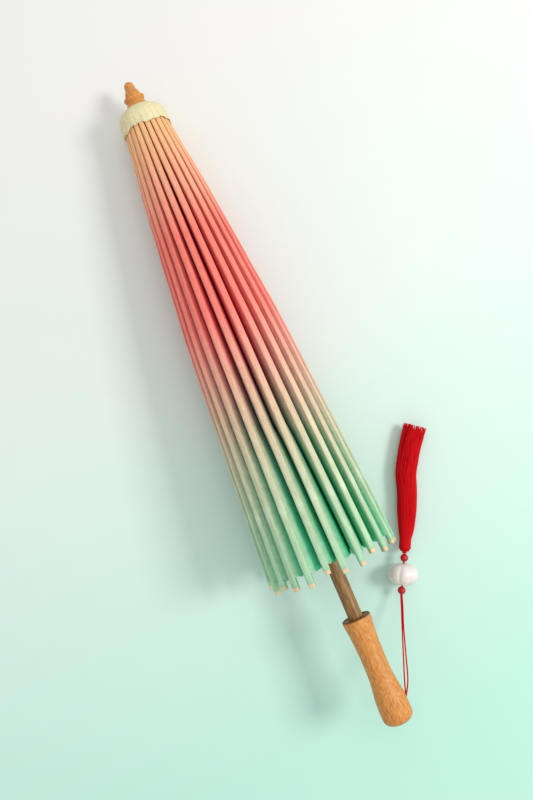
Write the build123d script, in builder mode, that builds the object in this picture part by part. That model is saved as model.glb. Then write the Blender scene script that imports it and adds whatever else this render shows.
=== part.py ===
# Oil paper umbrella, closed, lying on its side.
# Millimetres. The umbrella's axis is +X, from the finial's tip to the handle's end.
# The floor under it is tilted to the axis, so floor_point() gives places on the floor.
import math
import os

from build123d import *

os.makedirs("parts", exist_ok=True)

RIBS = 24
PITCH = 360 / RIBS
FIRST = PITCH / 2  # two ribs straddle the lowest line, so it rests on both
TILT = math.radians(3.9)
AXIS_HEIGHT = 25.57  # height of the finial's tip above the floor

PIVOT_X, PIVOT_R = 35.5, 17.2
RIB_OUTER = [(33, 19.0), (46, 20.0), (110, 28.6), (240, 42.0), (433, 55.3)]
RIB_THICK = [3.7, 4.2, 4.4, 4.6, 4.5]
RIB_END_SLOPE = 0.04
SHAFT_R = 6.1


def floor_point(along, side, height):
    """A place given by its distance along the floor, its distance to the side and its height."""
    up = height - AXIS_HEIGHT
    return (
        along * math.cos(TILT) + up * math.sin(TILT),
        side,
        -along * math.sin(TILT) + up * math.cos(TILT),
    )


def radial_plane(angle):
    """The plane through the axis whose local y points outward at this angle from straight up."""
    a = math.radians(angle)
    outward = Vector(0, math.sin(a), math.cos(a))
    return Plane(origin=(0, 0, 0), x_dir=(1, 0, 0), z_dir=Vector(1, 0, 0).cross(outward))


def tangent_plane(angle):
    """The plane through the axis whose normal points outward at this angle."""
    a = math.radians(angle)
    return Plane(origin=(0, 0, 0), x_dir=(1, 0, 0), z_dir=(0, math.sin(a), math.cos(a)))


def outer_r(x):
    """The ribs' outer radius at x."""
    for (x0, r0), (x1, r1) in zip(RIB_OUTER, RIB_OUTER[1:]):
        if x <= x1:
            return r0 + (r1 - r0) * (x - x0) / (x1 - x0)
    return RIB_OUTER[-1][1] + RIB_END_SLOPE * (x - RIB_OUTER[-1][0])


def save(builder, name):
    builder.part.label = name
    export_step(builder.part, f"parts/{name}.step")


# ---- shaft, with the flat bed that the spring catch lies in ----
CATCH_X0, CATCH_X1 = 198, 232
with BuildPart() as shaft:
    with BuildSketch(Plane.YZ.offset(25)):
        Circle(SHAFT_R)
    extrude(amount=479)
    with BuildSketch(Plane.YZ.offset(8)):
        Circle(2.98)
    extrude(amount=18)
    with BuildSketch(Plane.XY.offset(4.1)):
        with Locations(((CATCH_X0 + CATCH_X1) / 2, 0)):
            Rectangle(CATCH_X1 - CATCH_X0 + 2, 3.4)
    extrude(amount=4, mode=Mode.SUBTRACT)
save(shaft, "shaft")

with BuildPart() as spring_catch:
    with BuildSketch(Plane.XY.offset(4.15)):
        with Locations(((CATCH_X0 + CATCH_X1) / 2, 0)):
            Rectangle(CATCH_X1 - CATCH_X0, 2.6)
    extrude(amount=1.3)
save(spring_catch, "spring_catch")

# ---- finial, turned wood ----
with BuildPart() as finial:
    with BuildSketch(Plane.XY):
        with BuildLine():
            Polyline((24.9, 0), (0, 0), (0, 0.6))
            Spline(
                (0, 0.6), (1.0, 3.0), (3.4, 4.3), (7.0, 4.7), (11.0, 6.4), (15.0, 7.9), (18.0, 7.7),
                tangents=((0, 1), (0.8, -0.6)),
            )
            Polyline((18.0, 7.7), (18.5, 7.3), (19.0, 7.7))
            Spline((19.0, 7.7), (22.0, 8.9), (24.9, 10.4), tangents=((1, 0.4), (1, 0.8)))
            Line((24.9, 10.4), (24.9, 0))
        make_face()
    revolve(axis=Axis.X)
    with BuildSketch(Plane.YZ.offset(7.9)):
        Circle(3.0)
    extrude(amount=20, mode=Mode.SUBTRACT)
save(finial, "finial")

# ---- top notch, the wooden hub that the ribs' heads stand round ----
with BuildPart() as top_notch:
    with BuildSketch(Plane.XY):
        with BuildLine():
            Polyline(
                (26.2, 6.12), (26.2, 12.0), (28.5, 13.2), (41.5, 13.2),
                (44.0, 12.0), (52.0, 9.0), (54.0, 8.4), (54.0, 6.12), (26.2, 6.12),
            )
        make_face()
    revolve(axis=Axis.X)
save(top_notch, "top_notch")

# the wire ring that every rib's head is threaded on, and turns on
with BuildPart() as notch_wire:
    with BuildSketch(Plane.XY):
        with Locations((PIVOT_X, PIVOT_R)):
            Circle(0.5)
    revolve(axis=Axis.X)
save(notch_wire, "notch_wire")

# ---- cloth cap over the ribs' heads ----
with BuildPart() as head_cap:
    with BuildSketch(Plane.XY):
        with BuildLine():
            Polyline(
                (25.05, 6.2), (25.05, 10.6), (26.8, 15.4), (29.6, 18.9), (33.4, 20.7),
                (46.5, 21.3), (46.5, 20.8), (33.5, 20.1), (30.0, 18.4), (27.3, 15.1),
                (25.6, 10.5), (25.6, 6.2), (25.05, 6.2),
            )
        make_face()
    revolve(axis=Axis.X)
save(head_cap, "head_cap")

# ---- runner, the sleeve that slides on the shaft ----
with BuildPart() as runner:
    with BuildSketch(Plane.XY):
        with BuildLine():
            Polyline(
                (372, 6.2), (372, 10.2), (373, 10.8), (379, 10.8), (380, 10.2), (380, 8.6),
                (424, 8.4), (424, 9.2), (425, 9.6), (429, 9.6), (430, 9.2), (430, 6.2),
                (372, 6.2),
            )
        make_face()
    revolve(axis=Axis.X)
save(runner, "runner")

# ---- handle, with a socket for the shaft and a cross hole for the cord ----
with BuildPart() as handle:
    with BuildSketch(Plane.XY):
        with BuildLine():
            Polyline((504, 0), (504, 6.12), (494.4, 6.12), (492.6, 10.6), (492, 11.6), (492.5, 12.2))
            Spline((492.5, 12.2), (500, 11.6), (513, 10.5), (525, 10.05), tangents=((1, 0.1), (1, 0)))
            Line((525, 10.05), (537, 10.05))
            Spline((537, 10.05), (552, 11.3), (567, 12.9), tangents=((1, 0), (1, 0)))
            Line((567, 12.9), (576, 12.9))
            Spline((576, 12.9), (580.6, 11.4), (583, 7.5), (583.6, 0), tangents=((1, 0), (0, -1)))
            Line((583.6, 0), (504, 0))
        make_face()
    revolve(axis=Axis.X)
    with BuildSketch(Plane.XZ):
        with Locations((566, 0)):
            Circle(1.7)
    extrude(amount=20, both=True, mode=Mode.SUBTRACT)
save(handle, "handle")

# ---- ribs, split bamboo, each with a pivot hole at its head ----
for i in range(RIBS):
    angle = FIRST + i * PITCH
    end = 446.0 + 2.4 * math.sin(2.4 * i) + 1.2 * math.cos(5.1 * i)
    outer = RIB_OUTER + [(end, outer_r(end))]
    inner = [(x, r - t) for (x, r), t in zip(outer, RIB_THICK + [4.3])]
    with BuildPart() as rib:
        with BuildSketch(radial_plane(angle)):
            with BuildLine():
                Polyline(*outer, *reversed(inner), outer[0])
            make_face()
        extrude(amount=3, both=True)
        with BuildSketch(tangent_plane(angle)):
            with BuildLine():
                Polyline((32, 1.8), (53, 1.8), (460, 2.5), (460, -2.5), (53, -1.8), (32, -1.8), (32, 1.8))
            make_face()
        extrude(amount=70, mode=Mode.INTERSECT)
        with BuildSketch(radial_plane(angle)):
            with Locations((PIVOT_X, PIVOT_R)):
                Circle(0.75)
        extrude(amount=4, both=True, mode=Mode.SUBTRACT)
    save(rib, f"rib_{i + 1:02d}")

# ---- paper panels, each folded in between two ribs ----
PLEAT_X = [68, 110, 160, 240, 330, 433]
HALF_PANEL = 0.1264  # half a panel's width per length of rib
for i in range(RIBS):
    angle = FIRST + (i + 0.5) * PITCH
    outer = [(x, outer_r(x) - 3.2) for x in PLEAT_X]
    inner = [
        (x, max(outer_r(x) - HALF_PANEL * (x - PIVOT_X), 12.5)) for x in PLEAT_X
    ]
    inner = [(x, min(r, outer_r(x) - 6)) for x, r in inner]
    with BuildPart() as panel:
        with BuildSketch(radial_plane(angle)):
            with BuildLine():
                Polyline(*outer, *reversed(inner), outer[0])
            make_face()
        extrude(amount=0.25, both=True)
    save(panel, f"paper_panel_{i + 1:02d}")

# ---- hanging cord, beads and tassel ----
KNOT = (498.0, 46.0, 13.9)
COLLAR = (472.7, 59.3, 13.9)
BEAD = (485.35, 52.65, 13.9)
HEAD = (468.6, 61.5, 13.2)
EXIT = (564.8, 13.4, 63.8)
cord_way = (Vector(*floor_point(*COLLAR)) - Vector(*floor_point(*KNOT))).normalized()
knot_top = Vector(*floor_point(*KNOT)) - cord_way * 4.0
collar_end = Vector(*floor_point(*COLLAR)) + cord_way * 4.0


def bead_plane(place):
    """The plane through a bead's middle, with its x along the cord."""
    return Plane(origin=floor_point(*place), x_dir=cord_way, z_dir=cord_way.cross(Vector(0, 0, 1)))


with BuildPart() as cord:
    for side in (-1, 1):
        with BuildLine() as strand:
            Spline(
                (566, 8 + 1.0 * side, 0),
                floor_point(EXIT[0], EXIT[1] + side, EXIT[2]),
                floor_point(545, 23 + 1.6 * side, 47 - side),
                floor_point(520, 35.2 + 1.3 * side, 25),
                knot_top,
            )
        with BuildSketch(Plane(origin=strand.line @ 0, z_dir=strand.line % 0)):
            Circle(0.55)
        sweep(path=strand.line)
    for start, end in ((knot_top, collar_end),):
        with BuildLine() as through:
            Line(start, end)
        with BuildSketch(Plane(origin=start, z_dir=end - start)):
            Circle(0.8)
        sweep(path=through.line)
save(cord, "cord")

with BuildPart() as red_beads:
    for place in (KNOT, COLLAR):
        with BuildSketch(bead_plane(place)):
            Circle(3.5)
            with Locations((0, -5)):
                Rectangle(20, 12, mode=Mode.SUBTRACT)
        revolve(axis=Axis(floor_point(*place), cord_way))
save(red_beads, "red_beads")

with BuildPart() as frosted_bead:
    with BuildSketch(bead_plane(BEAD)):
        with BuildLine():
            Line((9.0, 1.0), (9.0, 6.0))
            ThreePointArc((9.0, 6.0), (0, 13.5), (-9.0, 6.0))
            Line((-9.0, 6.0), (-9.0, 1.0))
            Line((-9.0, 1.0), (9.0, 1.0))
        make_face()
    revolve(axis=Axis(floor_point(*BEAD), cord_way))
save(frosted_bead, "frosted_bead")

SKIRT = [
    (468.4, 61.6, 13.6), (460.0, 66.2, 10.6), (448.0, 72.8, 9.0), (422, 84.5, 8.8),
    (406.2, 90.2, 8.8), (394, 97.5, 8.8), (383.5, 104.5, 8.8), (370.5, 114.6, 8.8),
]
SKIRT_R = [3.2, 4.4, 6.2, 8.0, 8.3, 8.3, 8.3, 8.5]
with BuildPart() as tassel:
    points = [Vector(*floor_point(*p)) for p in SKIRT]
    for n, (p, r) in enumerate(zip(points, SKIRT_R)):
        ahead = points[min(n + 1, len(points) - 1)] - points[max(n - 1, 0)]
        with BuildSketch(Plane(origin=p, z_dir=ahead)):
            Circle(r)
    loft()
save(tassel, "tassel")
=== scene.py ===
# Oil paper umbrella, closed, lying on a pale floor, seen from above.
import math
import random

import bpy
from mathutils import Matrix, Vector


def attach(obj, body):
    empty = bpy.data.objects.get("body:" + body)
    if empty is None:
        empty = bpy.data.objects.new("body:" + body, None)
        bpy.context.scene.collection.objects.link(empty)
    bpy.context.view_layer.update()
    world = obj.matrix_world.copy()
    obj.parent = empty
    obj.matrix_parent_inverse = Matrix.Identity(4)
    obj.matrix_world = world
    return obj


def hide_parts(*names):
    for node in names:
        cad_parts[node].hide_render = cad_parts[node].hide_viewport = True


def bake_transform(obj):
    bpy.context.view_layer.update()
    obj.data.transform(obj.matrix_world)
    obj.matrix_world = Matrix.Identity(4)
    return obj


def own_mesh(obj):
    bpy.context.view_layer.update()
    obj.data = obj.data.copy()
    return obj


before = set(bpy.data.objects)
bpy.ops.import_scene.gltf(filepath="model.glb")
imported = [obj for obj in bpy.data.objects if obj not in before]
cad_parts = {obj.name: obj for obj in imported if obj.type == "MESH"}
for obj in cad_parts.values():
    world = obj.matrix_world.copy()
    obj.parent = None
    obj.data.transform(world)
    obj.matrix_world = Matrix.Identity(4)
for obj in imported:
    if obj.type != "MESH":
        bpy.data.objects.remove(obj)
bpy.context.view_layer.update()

# ---- the umbrella's own axes: x along it from the finial's tip, in millimetres ----
TILT = math.radians(3.9)
SHIFT_X, AXIS_HEIGHT = 291.22, 25.57
RIBS, PITCH, FIRST = 24, 15.0, 7.5
HANDLE_TOP_X = 492.4
PIVOT_X = 35.5
RIB_LINE = [(33, 19.0), (46, 20.0), (110, 28.6), (240, 42.0), (433, 55.3), (460, 56.6)]
HALF_PANEL = 0.1264


def row(x, y, z):
    """A point in the umbrella's own axes, in mm, as a point in the row frame, in metres."""
    c, s = math.cos(TILT), math.sin(TILT)
    return Vector((x * c - z * s - SHIFT_X, y, x * s + z * c + AXIS_HEIGHT)) / 1000


def polar(x, r, degrees):
    a = math.radians(degrees)
    return row(x, r * math.sin(a), r * math.cos(a))


def ramp(stops, x):
    """Piecewise-linear value, or colour, at x."""
    for (x0, v0), (x1, v1) in zip(stops, stops[1:]):
        if x <= x1:
            t = max(0.0, (x - x0) / (x1 - x0))
            if isinstance(v0, tuple):
                return tuple(p + (q - p) * t for p, q in zip(v0, v1))
            return v0 + (v1 - v0) * t
    return stops[-1][1]


def outer_r(x):
    """The ribs' outer radius, with the corners of RIB_LINE rounded off."""
    return sum(ramp(RIB_LINE, min(460, max(33, x + d))) for d in (-14, -7, 0, 7, 14)) / 5


def linear(r, g, b):
    """A screen colour, 0 to 255, as linear light."""
    shares = (c / 255 for c in (r, g, b))
    return tuple(c / 12.92 if c <= 0.04045 else ((c + 0.055) / 1.055) ** 2.4 for c in shares)


# ---- materials ----
def material(name, rough=0.6, color=(0.5, 0.5, 0.5), spec=0.5):
    m = bpy.data.materials.new(name)
    m.use_nodes = True
    b = m.node_tree.nodes["Principled BSDF"]
    b.inputs["Base Color"].default_value = (*color, 1)
    b.inputs["Roughness"].default_value = rough
    b.inputs["Specular IOR Level"].default_value = spec
    return m, m.node_tree.nodes, m.node_tree.links, b


def painted(name, rough, scale, amount, bump, spec=0.4, stretch=(1, 1, 1)):
    """A material that takes its colour, painted shade included, from the mesh's colours, with fine
    mottling.
    """
    m, nodes, links, b = material(name, rough, spec=spec)
    col = nodes.new("ShaderNodeAttribute")
    col.attribute_name = "tint_and_shade"
    coord = nodes.new("ShaderNodeTexCoord")
    mapping = nodes.new("ShaderNodeMapping")
    mapping.inputs["Scale"].default_value = stretch
    noise = nodes.new("ShaderNodeTexNoise")
    noise.inputs["Scale"].default_value = scale
    noise.inputs["Detail"].default_value = 4
    span = nodes.new("ShaderNodeMapRange")
    span.inputs["From Min"].default_value = 0.3
    span.inputs["From Max"].default_value = 0.7
    span.inputs["To Min"].default_value = 1 - amount
    span.inputs["To Max"].default_value = 1 + amount
    mult = nodes.new("ShaderNodeVectorMath")
    mult.operation = "SCALE"
    bumper = nodes.new("ShaderNodeBump")
    bumper.inputs["Strength"].default_value = bump
    bumper.inputs["Distance"].default_value = 0.0006
    links.new(coord.outputs["Object"], mapping.inputs["Vector"])
    links.new(mapping.outputs["Vector"], noise.inputs["Vector"])
    links.new(noise.outputs["Fac"], span.inputs["Value"])
    links.new(col.outputs["Color"], mult.inputs[0])
    links.new(span.outputs["Result"], mult.inputs["Scale"])
    links.new(mult.outputs["Vector"], b.inputs["Base Color"])
    links.new(noise.outputs["Fac"], bumper.inputs["Height"])
    links.new(bumper.outputs["Normal"], b.inputs["Normal"])
    return m


def grained(name, dark, light, rough, scale, bump, spec=0.5, coat=0.0):
    """Wood or bamboo with grain along the umbrella."""
    m, nodes, links, b = material(name, rough, spec=spec)
    coord = nodes.new("ShaderNodeTexCoord")
    turn = nodes.new("ShaderNodeMapping")
    turn.inputs["Rotation"].default_value = (0, TILT, 0)
    turn.inputs["Scale"].default_value = (0.10, 1, 1)
    noise = nodes.new("ShaderNodeTexNoise")
    noise.inputs["Scale"].default_value = scale
    noise.inputs["Detail"].default_value = 6
    noise.inputs["Roughness"].default_value = 0.65
    tone = nodes.new("ShaderNodeValToRGB")
    tone.color_ramp.elements[0].position = 0.33
    tone.color_ramp.elements[0].color = (*dark, 1)
    tone.color_ramp.elements[1].position = 0.66
    tone.color_ramp.elements[1].color = (*light, 1)
    bumper = nodes.new("ShaderNodeBump")
    bumper.inputs["Strength"].default_value = bump
    bumper.inputs["Distance"].default_value = 0.0004
    links.new(coord.outputs["Object"], turn.inputs["Vector"])
    links.new(turn.outputs["Vector"], noise.inputs["Vector"])
    links.new(noise.outputs["Fac"], tone.inputs["Fac"])
    links.new(tone.outputs["Color"], b.inputs["Base Color"])
    links.new(noise.outputs["Fac"], bumper.inputs["Height"])
    links.new(bumper.outputs["Normal"], b.inputs["Normal"])
    b.inputs["Coat Weight"].default_value = coat
    b.inputs["Coat Roughness"].default_value = 0.25
    return m


RIB_SKIN = painted("rib_skin", 0.62, 900, 0.13, 0.6, spec=0.25, stretch=(0.07, 1, 1))
PAPER = painted("oiled_paper", 0.5, 220, 0.12, 0.4)
CLOTH = painted("cap_cloth", 0.9, 700, 0.10, 0.9, spec=0.15)
WOOD = grained("turned_wood", linear(174, 94, 28), linear(240, 168, 84), 0.5, 1500, 0.35, coat=0.05)
BAMBOO = grained("bamboo_shaft", linear(96, 60, 28), linear(176, 128, 68), 0.45, 700, 0.4)
INNER_WOOD = grained("notch_wood", linear(150, 100, 50), linear(210, 160, 95), 0.6, 700, 0.3)
THREAD = material("red_thread", 0.7, linear(206, 0, 14), 0.15)[0]
RED_BEAD = material("red_bead", 0.3, linear(190, 8, 20))[0]
WIRE = material("wire", 0.35, (0.5, 0.5, 0.5))[0]


def frosted_material():
    m, _, _, b = material("frosted", 0.32, linear(240, 228, 224), 0.5)
    b.inputs["Subsurface Weight"].default_value = 0.35
    b.inputs["Subsurface Radius"].default_value = (0.006, 0.004, 0.0035)
    b.inputs["Transmission Weight"].default_value = 0.0
    return m


FROSTED = frosted_material()


# ---- mesh helpers ----
def grid(name, rows, tint_and_shade=None, mat=None, closed=False, caps=False, smooth=True):
    """A mesh from rows of points; closed joins each row's end to its start."""
    verts = [p for line in rows for p in line]
    n = len(rows[0])
    faces = []
    for i in range(len(rows) - 1):
        for j in range(n if closed else n - 1):
            k = (j + 1) % n
            faces.append((i * n + j, i * n + k, (i + 1) * n + k, (i + 1) * n + j))
    if caps:
        faces.append(tuple(reversed(range(n))))
        faces.append(tuple(range((len(rows) - 1) * n, len(rows) * n)))
    mesh = bpy.data.meshes.new(name)
    mesh.from_pydata([tuple(v) for v in verts], [], faces)
    if tint_and_shade:
        layer = mesh.color_attributes.new("tint_and_shade", "FLOAT_COLOR", "POINT")
        flat = [c for line in tint_and_shade for c in line]
        for k, c in enumerate(flat):
            layer.data[k].color = (*c, 1)
    mesh.update()
    if smooth:
        mesh.polygons.foreach_set("use_smooth", [True] * len(mesh.polygons))
    ob = bpy.data.objects.new(name, mesh)
    bpy.context.scene.collection.objects.link(ob)
    if mat:
        mesh.materials.append(mat)
    return ob


# ---- ribs: split bamboo wrapped in the paper's edge, peach at the crown, green at the rim ----
RIB_TINT = [
    (33, linear(246, 196, 136)), (65, linear(246, 184, 134)), (110, linear(248, 166, 136)),
    (150, linear(248, 130, 114)), (220, linear(250, 134, 120)), (255, linear(246, 164, 144)),
    (290, linear(234, 188, 158)), (330, linear(222, 204, 170)), (370, linear(204, 210, 174)),
    (410, linear(184, 212, 174)), (441, linear(176, 213, 175)), (460, linear(176, 213, 175)),
]
# painted shade: the paper's own colour along the canopy, made darker and deeper for the shade down
# in the folds between ribs
VALLEY_COLOUR_AND_SHADE = [
    (33, linear(160, 74, 44)), (90, linear(168, 62, 50)), (140, linear(186, 34, 50)),
    (230, linear(204, 46, 66)), (270, linear(176, 92, 92)), (310, linear(130, 124, 112)),
    (350, linear(76, 158, 120)), (400, linear(46, 178, 124)), (440, linear(70, 200, 148)),
]
BAND_X = 387  # a lighter stitched band that runs round the canopy
PAPER_END = 441  # past it a rib is wrapped, but carries no panel
BARE_TIP = 3.3  # how much of each rib's end is bare wood
EDGE_SHADE = 0.22  # how much of the shaded valley colour, as painted shade, a rib's edges take
# the outer part of a rib's cross-section: share of its half width, depth in mm
RIB_FACE = [
    (-1, -1.3), (-0.97, -0.55), (-0.84, -0.16), (-0.4, 0),
    (0.4, 0), (0.84, -0.16), (0.97, -0.55), (1, -1.3),
]


def rib_end(i):
    return 446.0 + 2.4 * math.sin(2.4 * i) + 1.2 * math.cos(5.1 * i)


def rib_bend(i, x):
    """Degrees that a rib strays from its even place."""
    grows = min(1, max(0, (x - 60) / 200))
    return (0.9 * math.sin(1.7 * i + 0.4) + 0.5 * math.sin(x / 90 + 2.3 * i)) * grows


def build_ribs():
    rng = random.Random(7)
    for i in range(RIBS):
        end = rib_end(i)
        stations = [32.8, 34, 38, 43] + [49 + 9.1 * k for k in range(43)]
        stations += [end - 7, end - 3.4, end - 3.2, end - 1, end - 0.1]
        stations = sorted(s for s in stations if s <= end)
        shade = 1 + rng.uniform(-0.07, 0.07)
        rows, tints_and_shade = [], []
        for x in stations:
            half = ramp([(33, 2.0), (48, 2.3), (110, 2.7), (250, 2.8), (460, 2.75)], x)
            bare = x > end - BARE_TIP
            if bare:
                half *= 0.86
            r = outer_r(x) + (0.18 if abs(x - BAND_X) < 3 else 0) - (0.35 if bare else 0)
            r += 0.12 * math.sin(x / 6.0 + i) * math.sin(x / 17.0 + 2 * i)
            centre = FIRST + i * PITCH + rib_bend(i, x)
            line, colours = [], []
            base = ramp(RIB_TINT, x) if not bare else linear(240, 206, 166)
            if not bare and x > PAPER_END:
                base = linear(172, 214, 178)
            if abs(x - BAND_X) < 3.5:
                base = tuple(c * 0.55 + d * 0.45 for c, d in zip(base, linear(228, 236, 212)))
            low = ramp(VALLEY_COLOUR_AND_SHADE, x)
            inner = 0.72 if x < 120 else 0.85
            for u, v in [(-inner, -4.1), *RIB_FACE, (inner, -4.1)]:
                line.append(polar(x, r + v, centre + math.degrees(u * half / r)))
                # painted shade: a rib's sides and underside take part of the shaded valley colour
                edge = min(1, max(0, (abs(u) - 0.6) / 0.4)) if v > -4 else 1
                mix = EDGE_SHADE * edge
                colours.append(tuple(shade * (c + (d - c) * mix) for c, d in zip(base, low)))
            rows.append(line)
            tints_and_shade.append(colours)
        ob = grid(f"rib_skin_{i + 1:02d}", rows, tints_and_shade, RIB_SKIN, closed=True, caps=True)
        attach(ob, f"rib_{i + 1:02d}")
        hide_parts(f"rib_{i + 1:02d}")


# ---- paper: each panel is a near half, which curves down from its rib's edge, and a far half ----
OVERLAP = 3  # how far each length of the near half runs under the next
NEAR_END = 437  # where the last of them stops
CREASE_R = 10.5  # no crease comes nearer to the axis, so deep panels curl round it
SEGMENTS = [(56, 78), (78, 108), (108, 152), (152, 216), (216, 308), (308, 437)]


def half_panel(x):
    """Half a panel's width at x."""
    return max(HALF_PANEL * (x - PIVOT_X), 2.5)


def fold(x, t, near, i):
    """A panel's section at x, as (r, degrees): t is 0 at the rib's edge and 1 at the crease."""
    r_top = outer_r(x) - 0.7
    reach = half_panel(x)
    r_low = max(r_top - reach, CREASE_R)
    ratio = reach / (r_top - r_low)
    swirl = math.sqrt(max(0.0, ratio * ratio - 1)) if r_low == CREASE_R else 0
    r = r_top + (r_low - r_top) * t
    mid = FIRST + (i + 0.5) * PITCH
    own = FIRST + (i if near else i + 1) * PITCH
    own += rib_bend(i if near else (i + 1) % RIBS, x)
    edge = own + (1 if near else -1) * math.degrees(2.2 / r_top)
    depth = (r_top - r) / max(1.5, 0.42 * reach if x < 90 else 11.0)
    close = 1 - math.exp(-2.2 * depth)
    side = mid + (-1 if near else 1) * math.degrees(0.22 / r)
    close = min(1, close + t ** 3)
    target = side if t < 0.999 else mid
    return r, edge + (target - edge) * close + math.degrees(swirl * math.log(r_top / r))


def build_paper():
    steps = [0, 0.02, 0.05, 0.09, 0.14, 0.2, 0.28, 0.38, 0.5, 0.62, 0.74, 0.86, 0.94, 1.0]
    for i in range(RIBS):
        body = f"panel_{i + 1:02d}"
        rng = random.Random(100 + i)
        rim = [rng.uniform(-1.6, 1.6) for _ in steps]

        def patch(name, x0, x1, near):
            count = max(4, int((x1 - x0) / 9))
            rows, tints_and_shade = [], []
            for k in range(count + 1):
                x = x0 + (x1 - x0) * k / count
                line, colours = [], []
                for n, t in enumerate(steps):
                    xx = x + (rim[n] if x1 > 430 and k == count else 0)
                    r, angle = fold(xx, t, near, i)
                    line.append(polar(xx, r, angle))
                    # painted shade: paper by the rib is 0.8 of the rib colour and turns to the
                    # shaded valley colour within 5.5 mm down the fold
                    top, low = ramp(RIB_TINT, min(xx, 440)), ramp(VALLEY_COLOUR_AND_SHADE, xx)
                    mix = max(0, 1 - t * half_panel(xx) / 5.5)
                    colours.append(tuple(0.8 * c * mix + d * (1 - mix) for c, d in zip(top, low)))
                rows.append(line)
                tints_and_shade.append(colours)
            return grid(name, rows, tints_and_shade, PAPER)

        far = patch(f"paper_far_{i + 1:02d}", SEGMENTS[0][0], SEGMENTS[-1][1], False)
        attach(far, body)
        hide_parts(f"paper_panel_{i + 1:02d}")
        for s, (x0, x1) in enumerate(SEGMENTS):
            first, last = x0 - OVERLAP, min(x1 + OVERLAP, NEAR_END)
            near = patch(f"paper_near_{i + 1:02d}_{s + 1}", first, last, True)
            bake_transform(near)


# ---- cloth cap ----
def wave(degrees):
    return math.sin(math.radians(degrees))


def build_cap():
    profile = [
        (25.0, 6.4), (25.1, 9.4), (25.8, 11.9), (27.2, 14.9), (29.4, 17.8), (32.6, 20.0),
        (36.0, 20.85), (39.5, 21.0), (43, 21.1), (46.4, 21.3),
    ]
    around = 144
    rows, tints_and_shade = [], []
    for n, (x, r) in enumerate(profile):
        line, colours = [], []
        for k in range(around):
            a = 360 * k / around
            low = max(0.0, (x - 32) / 14)
            ripple = 0.16 * wave(24 * a) + 0.12 * wave(7 * a + 40)
            fold_up = 0.22 * wave(11 * a) * min(1, max(0, (x - 25) / 4))
            ragged = (0.9 * wave(5 * a + 30) + 0.5 * wave(13 * a) + 0.3 * wave(31 * a)) * low * low
            line.append(polar(x + ragged, r + ripple * low + fold_up * 0.6, a))
            # painted shade: the cloth is darker in the troughs of its ripples than on their crests,
            # more so towards its lower edge
            t = 0.93 + 0.07 * wave(24 * a) * low
            colours.append(tuple(t * c for c in linear(240, 226, 180)))
        rows.append(line)
        tints_and_shade.append(colours)
    ob = grid("cap_cloth", rows, tints_and_shade, CLOTH, closed=True)
    thick = ob.modifiers.new("thick", "SOLIDIFY")
    thick.thickness = 0.0004
    thick.offset = 0
    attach(ob, "stick")
    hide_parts("head_cap")
    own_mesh(ob)


# ---- cord, beads and tassel ----
def on_floor(along, side, height):
    """A point that far along the floor from under the finial's tip, in millimetres."""
    return Vector((along - SHIFT_X, side, height)) / 1000


KNOT, COLLAR = on_floor(498.0, 46.0, 13.9), on_floor(472.7, 59.3, 13.9)
BEAD = (KNOT + COLLAR) / 2
HEAD = on_floor(469.2, 61.1, 13.6)
WAY = (COLLAR - KNOT).normalized()
STRAND_R = 0.00062


def smooth_line(points, count):
    """Catmull-Rom through the points."""
    out = []
    ext = [2 * points[0] - points[1]] + points + [2 * points[-1] - points[-2]]
    for k in range(count + 1):
        f = k / count * (len(points) - 1)
        j = min(int(f), len(points) - 2)
        t = f - j
        a, b, c, d = ext[j : j + 4]
        square, cube = 2 * a - 5 * b + 4 * c - d, 3 * b - a - 3 * c + d
        out.append(0.5 * ((2 * b) + (c - a) * t + square * t * t + cube * t ** 3))
    return out


def tube(name, path, radius, mat, sides=8, caps=True):
    rows = []
    for k, p in enumerate(path):
        ahead = (path[min(k + 1, len(path) - 1)] - path[max(k - 1, 0)]).normalized()
        side = ahead.cross(Vector((0, 0, 1)))
        side = side.normalized() if side.length > 1e-6 else Vector((0, 1, 0))
        up = side.cross(ahead)
        r = radius[k] if isinstance(radius, list) else radius
        turns = [2 * math.pi * j / sides for j in range(sides)]
        rows.append([p + (side * math.cos(a) + up * math.sin(a)) * r for a in turns])
    return grid(name, rows, None, mat, closed=True, caps=caps)


def build_cord(*strung):
    """The two strands; strung, the pieces that hang on them, is not used."""
    string = smooth_line([KNOT - WAY * 0.0038, KNOT, BEAD, COLLAR, HEAD + WAY * 0.001], 24)
    core = tube("bead_string", string, 0.0008, THREAD)
    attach(core, "stick")
    for side in (-1, 1):
        points = [
            row(566, 12.4, 1.0 * side),
            on_floor(556, 17.8 + 1.5 * side, 56.0 - 0.5 * side),
            on_floor(541, 25.2 + 1.3 * side, 43 - side), on_floor(524, 33.6 + 0.65 * side, 28.0),
            on_floor(509, 40.9 + 0.64 * side, 18.4),
            KNOT - WAY * 0.0035 + Vector((0, 0.0005 * side, 0)),
        ]
        path = smooth_line(points, 48)
        ob = tube(f"cord_strand_{'ab'[side > 0]}", path, STRAND_R, THREAD)
        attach(ob, "stick")
        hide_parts("cord")


def build_frosted_bead():
    side = WAY.cross(Vector((0, 0, 1))).normalized()
    up = side.cross(WAY)
    rows = []
    around, lobes = 96, 8
    for k in range(25):
        t = -math.pi / 2 + math.pi * k / 24
        along = 9.2 * math.sin(t)
        base = 13.6 * abs(math.cos(t)) ** 0.72
        line = []
        for j in range(around):
            a = 2 * math.pi * j / around
            lobe = abs(math.cos(lobes * a / 2))
            r = max(1.1, base * (0.92 + 0.08 * lobe ** 0.7))
            line.append(BEAD + (WAY * along + (side * math.cos(a) + up * math.sin(a)) * r) / 1000)
        rows.append(line)
    ob = grid("frosted_melon_bead", rows, None, FROSTED, closed=True)
    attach(ob, "stick")
    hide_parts("frosted_bead")
    return ob


SPINE, CORE = 70, 62  # steps along the tassel, and how many of them its solid core fills
THREADS = 420


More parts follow.
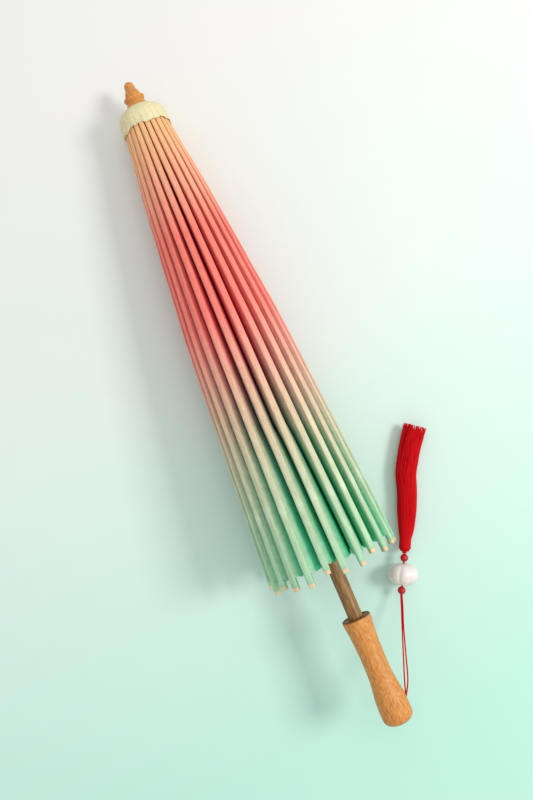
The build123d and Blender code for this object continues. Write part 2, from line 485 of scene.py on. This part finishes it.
def build_tassel():
    rng = random.Random(21)
    middle = [
        HEAD, on_floor(460.0, 66.2, 10.8), on_floor(448.0, 72.8, 9.0),
        on_floor(422, 84.5, 8.7), on_floor(406.2, 90.2, 8.7), on_floor(394, 97.5, 8.7),
        on_floor(383.5, 104.5, 8.7), on_floor(370.5, 114.6, 8.6),
    ]
    spine = smooth_line(middle, SPINE)
    spread = [  # share of its length, radius in mm
        (0, 2.4), (0.05, 4.0), (0.1, 4.5), (0.17, 4.6), (0.24, 5.8),
        (0.36, 7.8), (0.6, 8.5), (0.85, 8.8), (1.0, 9.4),
    ]
    parts = []
    thick = [ramp(spread, k / SPINE) * 0.00072 for k in range(CORE)]
    core = tube("tassel_core", spine[:CORE], thick, THREAD, sides=24)
    parts.append(core)
    for n in range(THREADS):
        a = rng.uniform(0, 2 * math.pi)
        q = math.sqrt(rng.uniform(0.5, 1.0))
        wander, phase = rng.uniform(0.2, 0.9), rng.uniform(0, 6.28)
        stop = SPINE - (rng.randint(0, 7) if n % 9 else rng.randint(5, 14))
        path = []
        for k in range(2, stop + 1):
            f = k / SPINE
            ahead = (spine[min(k + 1, SPINE)] - spine[k - 1]).normalized()
            side = ahead.cross(Vector((0, 0, 1))).normalized()
            up = side.cross(ahead)
            r = ramp(spread, f) * q
            turn = a + wander * math.sin(5 * f + phase) * (0.25 + 0.35 * f)
            p = spine[k] + (side * math.cos(turn) * 1.06 + up * math.sin(turn) * 0.94) * r / 1000
            p.z = max(p.z, 0.00075)
            path.append(p)
        parts.append(tube(f"thread_{n:03d}", path, 0.00042, THREAD, sides=5))
    for k in range(9):
        f = 0.06 + 0.0085 * k
        at = int(f * SPINE)
        c = spine[at].lerp(spine[at + 1], f * SPINE - at)
        ahead = (spine[8] - spine[3]).normalized()
        side = ahead.cross(Vector((0, 0, 1))).normalized()
        up = side.cross(ahead)
        turns = [2 * math.pi * j / 24 for j in range(25)]
        ring = [c + (side * math.cos(a) + up * math.sin(a)) * 0.0048 for a in turns]
        parts.append(tube(f"wrap_{k}", ring, 0.0005, THREAD, sides=6, caps=False))
    bpy.ops.object.select_all(action="DESELECT")
    for p in parts:
        p.select_set(True)
    bpy.context.view_layer.objects.active = parts[0]
    bpy.ops.object.join()
    ob = bpy.context.view_layer.objects.active
    ob.name = "tassel_threads"
    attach(ob, "stick")
    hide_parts("tassel")


def dark_topped(mat, along):
    """A copy of the wood, dark where it lies nearer the finial than along."""
    m = mat.copy()
    m.name = "handle_wood"
    nodes, links = m.node_tree.nodes, m.node_tree.links
    b = nodes["Principled BSDF"]
    coord = nodes.new("ShaderNodeTexCoord")
    turn = nodes.new("ShaderNodeMapping")
    turn.inputs["Rotation"].default_value = (0, TILT, 0)
    split = nodes.new("ShaderNodeSeparateXYZ")
    less = nodes.new("ShaderNodeMapRange")
    edge = (along - SHIFT_X * math.cos(TILT) + AXIS_HEIGHT * math.sin(TILT)) / 1000
    less.inputs["From Min"].default_value = edge - 0.0004
    less.inputs["From Max"].default_value = edge + 0.0012
    mix = nodes.new("ShaderNodeMix")
    mix.data_type = "RGBA"
    mix.inputs["A"].default_value = (*linear(96, 48, 20), 1)
    old = b.inputs["Base Color"].links[0].from_socket
    links.new(coord.outputs["Object"], turn.inputs["Vector"])
    links.new(turn.outputs["Vector"], split.inputs["Vector"])
    links.new(split.outputs["X"], less.inputs["Value"])
    links.new(less.outputs["Result"], mix.inputs["Factor"])
    links.new(old, mix.inputs["B"])
    links.new(mix.outputs["Result"], b.inputs["Base Color"])
    return m


def dress_cad():
    looks = {
        "finial": WOOD, "handle": dark_topped(WOOD, HANDLE_TOP_X), "shaft": BAMBOO,
        "spring_catch": BAMBOO, "top_notch": INNER_WOOD, "runner": INNER_WOOD,
        "notch_wire": WIRE, "red_beads": RED_BEAD,
    }
    for name, mat in looks.items():
        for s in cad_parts[name].material_slots:
            s.material = mat


build_ribs()
build_paper()
build_cap()
frosted = build_frosted_bead()
build_tassel()
build_cord(frosted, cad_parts["red_beads"])
dress_cad()

# ---- floor ----
floor_mat, nodes, links, bsdf = material("floor", 0.9, (0.8, 0.8, 0.8), 0.1)
coord = nodes.new("ShaderNodeTexCoord")
split = nodes.new("ShaderNodeSeparateXYZ")
down = nodes.new("ShaderNodeMapRange")
down.inputs["From Min"].default_value = -0.30
down.inputs["From Max"].default_value = 0.32
tone = nodes.new("ShaderNodeValToRGB")
tone.color_ramp.elements[0].color = (*linear(238, 236, 233), 1)
tone.color_ramp.elements[1].color = (*linear(194, 238, 222), 1)
middle = tone.color_ramp.elements.new(0.45)
middle.color = (*linear(227, 240, 234), 1)
links.new(coord.outputs["Object"], split.inputs["Vector"])
links.new(split.outputs["X"], down.inputs["Value"])
links.new(down.outputs["Result"], tone.inputs["Fac"])
links.new(tone.outputs["Color"], bsdf.inputs["Base Color"])
bpy.ops.mesh.primitive_plane_add(size=8, location=(0, 0, 0))
floor = bpy.context.object
floor.name = "floor"
floor.data.materials.append(floor_mat)

# ---- light ----
scene = bpy.context.scene
world = bpy.data.worlds.new("world")
scene.world = world
world.use_nodes = True
world.node_tree.nodes["Background"].inputs["Color"].default_value = (0.95, 0.99, 1.0, 1)
world.node_tree.nodes["Background"].inputs["Strength"].default_value = 0.6


def area_light(name, place, aim, size, power, colour=(1, 1, 1)):
    data = bpy.data.lights.new(name, "AREA")
    data.size = size
    data.energy = power
    data.color = colour
    ob = bpy.data.objects.new(name, data)
    scene.collection.objects.link(ob)
    ob.location = place
    ob.rotation_euler = (Vector(aim) - Vector(place)).to_track_quat("-Z", "Y").to_euler()


area_light("key", (0.25, 1.25, 1.35), (0, 0, 0), 0.5, 16, (1.0, 0.98, 0.95))
area_light("top", (-0.5, 0.3, 1.6), (0, 0, 0), 1.2, 6)

# ---- camera: straight down, rolled so that the handle points down to the right ----
ALONG, ACROSS = 0.3933, 0.9194
LEFT_RIGHT, UP_DOWN, HEIGHT = 0.0070, 0.0028, 0.730
camera_data = bpy.data.cameras.new("camera")
camera_data.lens = 36.8
camera_data.sensor_width = 36
camera = bpy.data.objects.new("camera", camera_data)
scene.collection.objects.link(camera)
camera.matrix_world = Matrix((
    (ALONG, -ACROSS, 0, LEFT_RIGHT),
    (ACROSS, ALONG, 0, UP_DOWN),
    (0, 0, 1, HEIGHT),
    (0, 0, 0, 1),
))
scene.camera = camera
scene.view_settings.view_transform = "Standard"
scene.view_settings.look = "None"
